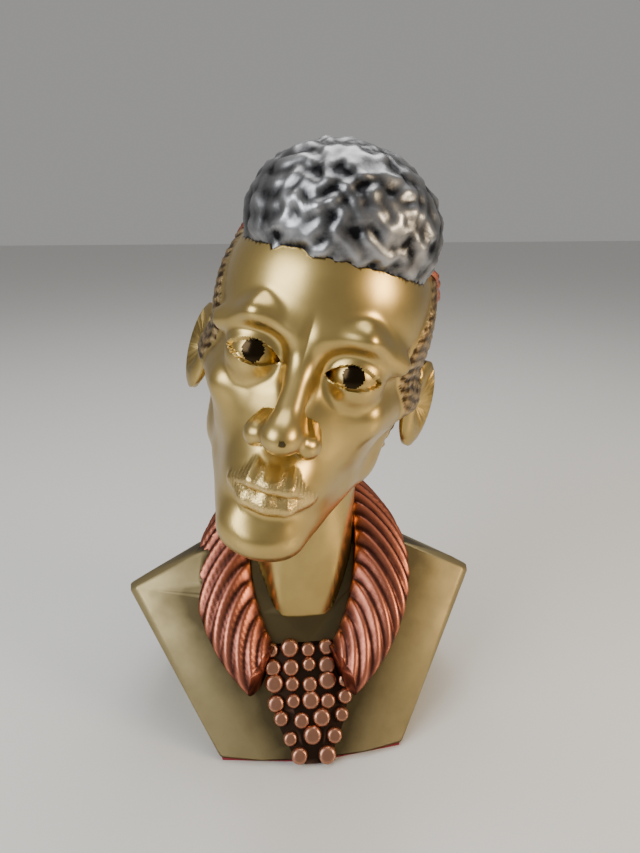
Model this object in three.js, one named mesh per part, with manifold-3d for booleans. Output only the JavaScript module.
// A table-top bust cast in one piece, 250 mm tall: brass skin, a dark cap of
// curled hair, a cord round the head, a ribbed copper collar and a bib of round
// studs, on a torso cut off flat. A thin red felt pad is glued under it.
// Millimetres, +Z up, the chest faces -Y, origin at the middle of the underside.
import * as THREE from 'three';
import { mergeVertices } from 'three/addons/utils/BufferGeometryUtils.js';
import { ConvexGeometry } from 'three/addons/geometries/ConvexGeometry.js';
import Module from 'manifold-3d';

// Driving dimensions
const FELT = { thick: 1.6, inset: 1.2, gap: 0.3 };
const FRONT_Y = -47;                      // front edge of the base
const BASE = { frontHalf: 40, bulge: 5, backHalf: 66, depth: 92, backBulge: 10 };
const SHOULDER = { half: 79, setBack: 41, height: 62, thick: 11, bevel: 3 };
const NECK = { foot: [-2, 6, 30], top: [4, 7, 128], footHalf: 25, topHalf: 22 };
const HEAD = { at: [6, 6, 165], yaw: -12, pitch: -10, roll: 14, wide: 1.12, tall: 1.16 };
const EAR = { at: [45, 7, -9], half: [4.6, 11.5, 20], flare: 30, lean: 8 };
const CAP = { at: [0, -16, 58], half: [38, 36, 26], tilt: -14, lump: 1.5 };
const CORD = { radius: 1.5, tilt: -25, height: 40 };
const COLLAR = { turn: -5, ribs: 34, rib: 0.8, thick: 6.5 };
const BIB = { topHalf: 20.5, waistHalf: 19, tipHalf: 7, thick: 3.2, studs: 3.6 };

const wasm = await Module();
wasm.setup();

const radians = THREE.MathUtils.degToRad;
const mix = THREE.MathUtils.lerp;
const clamp = THREE.MathUtils.clamp;

// Signed distances: negative inside, in millimetres.
function egg(p, at, half) {
  const [x, y, z] = [p[0] - at[0], p[1] - at[1], p[2] - at[2]];
  const near = Math.hypot(x / half[0], y / half[1], z / half[2]);
  const slope = Math.hypot(x / half[0] ** 2, y / half[1] ** 2, z / half[2] ** 2);
  return slope < 1e-9 ? -Math.min(...half) : (near * (near - 1)) / slope;
}

function rod(p, from, to, thickFrom, thickTo) {
  const along = [to[0] - from[0], to[1] - from[1], to[2] - from[2]];
  const out = [p[0] - from[0], p[1] - from[1], p[2] - from[2]];
  const dot = out[0] * along[0] + out[1] * along[1] + out[2] * along[2];
  const share = clamp(dot / (along[0] ** 2 + along[1] ** 2 + along[2] ** 2), 0, 1);
  const away = Math.hypot(...out.map((v, i) => v - share * along[i]));
  return away - mix(thickFrom, thickTo, share);
}

// Joins two forms with a fillet about soft wide, and carves one out of another.
function join(a, b, soft) {
  const share = Math.max(soft - Math.abs(a - b), 0) / soft;
  return Math.min(a, b) - (share * share * soft) / 4;
}
const carve = (a, b, soft) => -join(-a, b, soft);

// Skull and jaw, with the face looking along -Y and the eyes at height 0.
function skull(p) {
  let form = egg(p, [0, 9, 14], [40, 52, 48]);
  form = join(form, egg(p, [0, -19, 22], [32, 30, 31]), 12);
  form = join(form, egg(p, [0, -12, -16], [31, 34, 30]), 10);
  form = join(form, rod(p, [24, -32, -12], [35, -4, -7], 5.5, 5), 9);
  form = join(form, rod(p, [25, 2, -34], [8, -40, -54], 6.5, 7.5), 12);
  form = join(form, rod(p, [33, 6, -6], [25, 2, -34], 5, 6), 10);
  form = join(form, egg(p, [0, -31, -38], [18, 21, 16]), 8);
  form = join(form, egg(p, [0, -43, -55], [11, 9.5, 8.5]), 6);
  return form;
}

function eyes(form, p) {
  const eye = [16.2, -36.2, 0];
  const lower = -0.4 * clamp((p[0] - 16) / 8, -1, 1);
  form = join(form, rod(p, [4, -45.5, 8.5], [17, -46, 11], 3.6, 3.4), 7);
  form = join(form, rod(p, [17, -46, 11], [30, -34, 7], 3.4, 3), 7);
  form = carve(form, egg(p, [16.5, -50, 0], [11.5, 9, 8]), 6);
  const ball = egg(p, eye, [9, 9, 9]);
  const across = (p[0] - eye[0]) / 9.2;
  const upperLid = 4.6 * (1 - across * across) + lower * 2;
  const lowerLid = -3.6 * (1 - across * across) + lower * 2;
  const slit = Math.max(p[2] - upperLid, lowerLid - p[2], (Math.abs(across) - 0.94) * 9);
  const lids = Math.max(egg(p, eye, [10.2, 10.2, 10.2]), -slit);
  form = Math.max(join(form, lids, 2.5), -Math.max(slit, egg(p, eye, [14, 14, 14])));
  return Math.min(form, ball);
}

function nose(form, p) {
  form = join(form, rod(p, [0, -43.5, 4], [0, -55.5, -17], 3.6, 4.6), 6);
  form = join(form, egg(p, [0, -57, -20], [6.4, 6.6, 5.4]), 4);
  form = join(form, egg(p, [8, -50.5, -21.5], [4.4, 6.2, 4.6]), 3);
  return carve(form, egg(p, [4.4, -55, -26.2], [2.4, 3.8, 2.2]), 1.5);
}

function mouth(form, p) {
  form = carve(form, rod(p, [0, -53.5, -27], [0, -55.6, -33], 1.2, 1.8), 3);
  let upper = rod(p, [0, -52.6, -36.4], [6, -51.6, -36], 2.6, 2.6);
  upper = join(upper, rod(p, [6, -51.6, -36], [14, -44.5, -39], 2.6, 0.9), 1);
  let under = rod(p, [0, -51.4, -42.4], [6.5, -50, -42], 3.4, 3);
  under = join(under, rod(p, [6.5, -50, -42], [13.8, -44.2, -39.6], 3, 0.9), 1);
  form = join(form, upper, 1.6);
  form = join(form, under, 1.6);
  form = carve(form, rod(p, [0, -56.5, -39.3], [14.5, -46.5, -39.4], 0.5, 0.4), 1.2);
  return carve(form, egg(p, [0, -54.5, -49], [9, 3, 2]), 4);
}

// The hair of the sides and back stands a little proud of the skin.
function hairline(p) {
  const [x, y, z] = p;
  const temple = y + 24 - 0.22 * Math.max(z, 0) + 6 * Math.sin(z / 9);
  const nape = z + 42 - 0.2 * y;
  const sideburn = y > 8 ? 9 : clamp((z + 13) * 0.6, -9, 9);
  return Math.min(temple, nape, sideburn) / 3;
}

function headField(x, y, z) {
  const p = [Math.abs(x) / HEAD.wide, y / HEAD.tall, z / HEAD.tall];
  let form = skull(p);
  form = eyes(form, p);
  form = nose(form, p);
  form = mouth(form, p);
  return (form - 2 * clamp(hairline(p), 0, 1)) * Math.min(HEAD.wide, HEAD.tall);
}

// A closed ball of cols by rows faces, each vertex sent out along its ray from
// the centre to where the field is zero. Its pole looks along -Y, and bunch
// crowds the rows towards that pole.
function castBall(field, centre, cols, rows, bunch, reach) {
  const ball = new THREE.SphereGeometry(1, cols, rows);
  const spot = ball.attributes.position;
  const ray = new THREE.Vector3();
  for (let i = 0; i < spot.count; i++) {
    ray.fromBufferAttribute(spot, i);
    const fall = Math.acos(clamp(ray.y, -1, 1)) / Math.PI;
    const lean = Math.PI * mix(fall, fall * fall, bunch);
    const round = Math.atan2(ray.z, ray.x);
    const wide = fall > 1e-6 && fall < 1 - 1e-6 ? Math.sin(lean) : 0;
    ray.set(wide * Math.cos(round), -Math.cos(lean), wide * Math.sin(round));
    let far = reach;
    for (let step = 0; step < 60; step++) {
      far -= 0.8 * field(centre[0] + ray.x * far, centre[1] + ray.y * far, centre[2] + ray.z * far);
    }
    spot.setXYZ(i, centre[0] + ray.x * far, centre[1] + ray.y * far, centre[2] + ray.z * far);
  }
  return ball;
}

// Closed three.js geometry, moved by a matrix, as a solid that booleans can use.
function solid(geometry, matrix) {
  const bare = new THREE.BufferGeometry();
  bare.setAttribute('position', geometry.attributes.position.clone());
  if (geometry.index) bare.setIndex(geometry.index);
  if (matrix) bare.applyMatrix4(matrix);
  const merged = mergeVertices(bare, 1e-4);
  const faces = [];
  const index = merged.index.array;
  for (let i = 0; i < index.length; i += 3) {
    const [a, b, c] = [index[i], index[i + 1], index[i + 2]];
    if (a !== b && b !== c && c !== a) faces.push(a, b, c);
  }
  const made = new wasm.Manifold(new wasm.Mesh({
    numProp: 3,
    vertProperties: merged.attributes.position.array,
    triVerts: new Uint32Array(faces),
  }));
  if (made.volume() > 0) return made;
  for (let i = 0; i < faces.length; i += 3) [faces[i], faces[i + 1]] = [faces[i + 1], faces[i]];
  return new wasm.Manifold(new wasm.Mesh({
    numProp: 3,
    vertProperties: merged.attributes.position.array,
    triVerts: new Uint32Array(faces),
  }));
}

// Torso: the chest leans back from the front edge of the base, the arms are cut
// off by slanting planes, and the shoulders rise to the neck.
function torso() {
  const corners = [];
  const add = (x, y, z) => corners.push(new THREE.Vector3(x, y, z), new THREE.Vector3(-x, y, z));
  const floor = FELT.thick + FELT.gap;
  const back = FRONT_Y + BASE.depth;
  for (const [lift, grow] of [[0, -1], [1.2, 0]]) {
    add(BASE.frontHalf + grow, FRONT_Y - grow, floor + lift);
    add(BASE.frontHalf * 0.55, FRONT_Y - BASE.bulge * 0.75 - grow, floor + lift);
    add(0, FRONT_Y - BASE.bulge - grow, floor + lift);
    add(BASE.backHalf + grow, back + grow - 8, floor + lift);
    add(BASE.backHalf - 14, back + grow, floor + lift);
    add(BASE.backHalf * 0.4, back + BASE.backBulge * 0.8 + grow, floor + lift);
    add(0, back + BASE.backBulge + grow, floor + lift);
  }
  const { half, setBack, height, thick, bevel } = SHOULDER;
  const top = FRONT_Y + setBack;
  add(half - bevel, top, height + 1);
  add(half, top + bevel * 0.6, height - 1);
  add(half + 0.5, top + thick * 0.5, height);
  add(half - 1, top + thick, height - 2);
  add(half - bevel * 2, top + thick * 0.5, height + bevel + 1);
  for (const [share, rise, deep] of [[0.3, 6, 4], [0.62, 13, 10]]) {
    const x = mix(half, NECK.footHalf + 4, share);
    add(x, top + 1 - share * 4, height + rise - 7 - share * 3);
    add(x, top + 7, height + rise);
    add(x, top + thick + deep, height + rise - 2);
    add(x, back + BASE.backBulge * 0.3, height * 0.62);
  }
  add(NECK.footHalf * 0.8, NECK.foot[1] + 12, 84);
  add(0, NECK.foot[1] + 30, 82);
  add(0, FRONT_Y + 22, 40);
  return solid(new ConvexGeometry(corners));
}

// Neck: a round loft that leans with the head, with the two cords of muscle
// that run down to the pit of the throat.
function neck() {
  const geometry = new THREE.CylinderGeometry(1, 1, 1, 28, 9);
  const spot = geometry.attributes.position;
  for (let i = 0; i < spot.count; i++) {
    const share = spot.getY(i) + 0.5;
    const rim = Math.hypot(spot.getX(i), spot.getZ(i));
    const round = Math.atan2(spot.getZ(i), spot.getX(i));
    const half = mix(NECK.footHalf, NECK.topHalf, Math.sqrt(share));
    const muscle = Math.PI / 2 - 0.28 - 0.8 * share;
    const off = Math.abs(Math.abs(Math.atan2(Math.cos(round), Math.sin(round))) - (Math.PI / 2 - muscle));
    const swell = 1.6 * Math.exp(-((off / 0.22) ** 2)) * Math.sin(Math.PI * Math.min(1, share + 0.25));
    const wide = rim * (half + swell);
    spot.setXYZ(i,
      mix(NECK.foot[0], NECK.top[0], share) + wide * Math.cos(round),
      mix(NECK.foot[1], NECK.top[1], share) - wide * 1.04 * Math.sin(round),
      mix(NECK.foot[2], NECK.top[2], share));
  }
  return solid(geometry);
}

const headFrame = new THREE.Matrix4().compose(
  new THREE.Vector3(...HEAD.at),
  new THREE.Quaternion().setFromEuler(
    new THREE.Euler(radians(HEAD.pitch), radians(HEAD.roll), radians(HEAD.yaw), 'ZYX')),
  new THREE.Vector3(1, 1, 1));

function head() {
  return solid(castBall(headField, [0, -10, -6], 56, 38, 0.42, 105), headFrame);
}

// Ear: a leaf of cartilage with a raised rim, a hollow in front of the canal
// and a round lobe.
function earField(x, y, z) {
  const p = [x, y, z];
  const [thick, wide, tall] = EAR.half;
  let form = egg(p, [0, 0, 0], EAR.half);
  form = carve(form, egg(p, [thick * 1.15, -wide * 0.05, tall * 0.15], [thick, wide * 0.6, tall * 0.62]), 1.2);
  return carve(form, egg(p, [thick * 0.9, -wide * 0.15, -tall * 0.05], [thick, wide * 0.4, tall * 0.32]), 1);
}

function ear(side) {
  const leaf = castBall((x, y, z) => earField(x, y, z), [-1, 0, 0], 22, 14, 0, 30);
  const place = new THREE.Matrix4().compose(
    new THREE.Vector3(side * EAR.at[0], EAR.at[1], EAR.at[2]),
    new THREE.Quaternion().setFromEuler(
      new THREE.Euler(radians(EAR.lean), 0, side * radians(-EAR.flare), 'ZYX')),
    new THREE.Vector3(side, 1, 1));
  return solid(leaf, new THREE.Matrix4().multiplyMatrices(headFrame, place));
}

// Cap of curled hair: an egg whose surface is broken into small lumps.
function capField(x, y, z) {
  const [u, v, w] = [x / 3.1, y / 3.1, z / 3.1];
  const lumps = Math.sin(u + 1.3 * Math.sin(0.7 * v)) * Math.sin(v + 1.1 * Math.sin(0.8 * w))
    + Math.sin(w * 1.1 + 1.2 * Math.sin(0.6 * u));
  return egg([x, y, z], [0, 0, 0], CAP.half) - CAP.lump * 0.5 * lumps;
}

function cap() {
  const place = new THREE.Matrix4().compose(
    new THREE.Vector3(...CAP.at),
    new THREE.Quaternion().setFromEuler(new THREE.Euler(radians(CAP.tilt), 0, 0)),
    new THREE.Vector3(1, 1, 1));
  return solid(castBall(capField, [0, 0, 0], 34, 18, 0, 60),
    new THREE.Matrix4().multiplyMatrices(headFrame, place));
}

// Cord: it leaves the cap at both sides and goes round the back of the head.
function cord() {
  const points = [];
  const slope = Math.tan(radians(CORD.tilt));
  for (let turn = -125; turn <= 125; turn += 12.5) {
    const ray = [Math.sin(radians(turn)), Math.cos(radians(turn))];
    let far = 90;
    for (let step = 0; step < 40; step++) {
      const y = ray[1] * far;
      far -= 0.8 * headField(ray[0] * far, y, CORD.height + slope * y);
    }
    points.push(new THREE.Vector3(ray[0] * far, ray[1] * far, CORD.height + slope * ray[1] * far));
  }
  const section = new THREE.Shape().absarc(0, 0, CORD.radius, 0, 2 * Math.PI);
  const tube = new THREE.ExtrudeGeometry(section, {
    steps: 36, curveSegments: 4, bevelEnabled: false,
    extrudePath: new THREE.CatmullRomCurve3(points),
  });
  return solid(tube, headFrame);
}

// Collar: a band round the neck from one side of the bib to the other, thick in
// the middle, with ribs that slant out from its neck edge to its outer edge.
function collarPoint(along, around) {
  const turn = radians(mix(-152, 152, along));
  const back = (1 + Math.cos(turn)) / 2;
  const front = Math.pow(1 - back, 2);
  const across = (1 - Math.cos(around)) / 2;
  const inner = [24.5 * Math.sin(turn), 24 * Math.cos(turn) + 4, mix(46, 106, back ** 0.8) + 4];
  const outer = [49 * Math.sin(turn), mix(31, 37, back) * Math.cos(turn) + 2, mix(30, 84, back ** 0.6) + 4];
  inner[1] -= 12 * front;
  outer[1] -= 20 * front;
  inner[2] -= 17 * front;
  outer[2] -= 16 * front;
  const phase = COLLAR.ribs * 2 * along - 2.2 * Math.sign(along - 0.5) * across * 2.4;
  const rib = COLLAR.rib * Math.cos(Math.PI * phase);
  const rise = Math.sin(around);
  const lift = rise > 0 ? rise * COLLAR.thick + rib * Math.min(1, 3 * rise) : rise * COLLAR.thick;
  return [0, 1, 2].map((i) => mix(inner[i], outer[i], across)
    + lift * [0.45 * Math.sin(turn), 0.45 * Math.cos(turn), 0.89][i]);
}

function collar() {
  const [sections, around] = [110, 10];
  const geometry = new THREE.CylinderGeometry(1, 1, 1, around, sections);
  const spot = geometry.attributes.position;
  for (let i = 0; i < spot.count; i++) {
    const rim = Math.hypot(spot.getX(i), spot.getZ(i)) > 0.5;
    const angle = Math.atan2(spot.getZ(i), spot.getX(i));
    const along = clamp(spot.getY(i) + 0.5, 0, 1);
    const low = collarPoint(along, 0);
    const high = collarPoint(along, Math.PI);
    const place = rim ? collarPoint(along, angle) : low.map((v, k) => (v + high[k]) / 2);
    spot.setXYZ(i, ...place);
  }
  return solid(geometry, new THREE.Matrix4().makeRotationZ(radians(COLLAR.turn)));
}

// Chest plane: how far back the chest is at a height.
const lean = SHOULDER.setBack / SHOULDER.height;
const chest = (x, z) => FRONT_Y + lean * z - BASE.bulge * (1 - (x / BASE.frontHalf) ** 2 * 0.8);
const bibHalf = (z) => (z > 20 ? mix(BIB.waistHalf, BIB.topHalf, (z - 20) / 22)
  : mix(BIB.tipHalf, BIB.waistHalf, z / 20));

function bib() {
  const plate = [];
  for (const z of [FELT.thick + FELT.gap + 0.3, 10, 20, 30, 42]) {
    for (const side of [-1, -0.4, 0.4, 1]) {
      const x = side * bibHalf(z);
      const bow = side * side === 1 ? 0.6 : 0;
      plate.push(new THREE.Vector3(x, chest(x, z) - BIB.thick * (1 - bow), z));
      plate.push(new THREE.Vector3(x, chest(x, z) + 6, z));
    }
  }
  let made = solid(new ConvexGeometry(plate));
  const across = BIB.studs * 1.95;
  for (let row = 0; row < 7; row++) {
    const z = 5.2 + row * 6;
    const half = bibHalf(z) - 1.2;
    const count = Math.max(1, Math.floor((2 * half) / across));
    for (let k = 0; k < count; k++) {
      const x = count === 1 ? 0 : mix(-half + 3, half - 3, k / (count - 1));
      const size = BIB.studs * (0.9 + 0.12 * Math.sin(row * 5.1 + k * 2.3));
      const stud = new THREE.SphereGeometry(1, 8, 5);
      const lie = new THREE.Matrix4().compose(
        new THREE.Vector3(x, chest(x, z) - BIB.thick, z + 0.8 * Math.sin(row * 3.7 + k * 4.1)),
        new THREE.Quaternion().setFromEuler(new THREE.Euler(-Math.atan(lean), 0, 0)),
        new THREE.Vector3(size, 2.2, size));
      made = made.add(solid(stud, lie));
    }
  }
  return made;
}

// Felt pad: a sheet cut a little inside the outline of the base.
function feltPad() {
  const { frontHalf, bulge, backHalf, depth, backBulge } = BASE;
  const back = FRONT_Y + depth - FELT.inset;
  const front = FRONT_Y + FELT.inset;
  const half = [[0, front - bulge], [frontHalf - FELT.inset, front], [backHalf - FELT.inset, back - 8],
    [backHalf - 14, back], [0, back + backBulge]];
  const corners = half.flatMap(([x, y]) => [0, FELT.thick].flatMap((z) =>
    [new THREE.Vector3(x, y, z), new THREE.Vector3(-x, y, z)]));
  return solid(new ConvexGeometry(corners));
}

function meshOf(name, made, material) {
  const mesh = made.getMesh();
  const geometry = new THREE.BufferGeometry();
  geometry.setAttribute('position', new THREE.BufferAttribute(new Float32Array(mesh.vertProperties), 3));
  geometry.setIndex(new THREE.BufferAttribute(new Uint32Array(mesh.triVerts), 1));
  geometry.computeVertexNormals();
  const object = new THREE.Mesh(geometry, material);
  object.name = name;
  return object;
}

const pieces = [torso(), neck(), head(), ear(1), ear(-1), cap(), cord(), collar(), bib()];
const aboveFelt = solid(new THREE.BoxGeometry(400, 400, 400),
  new THREE.Matrix4().makeTranslation(0, 0, 200 + FELT.thick + FELT.gap));
const casting = wasm.Manifold.union(pieces).intersect(aboveFelt);

const brass = new THREE.MeshStandardMaterial({ color: 0x9a7b3c, metalness: 1, roughness: 0.35 });
const felt = new THREE.MeshStandardMaterial({ color: 0x7c1f22, metalness: 0, roughness: 0.95 });

const part = new THREE.Group();
part.add(meshOf('bust', casting, brass));
part.add(meshOf('felt_pad', feltPad(), felt));

export default part;
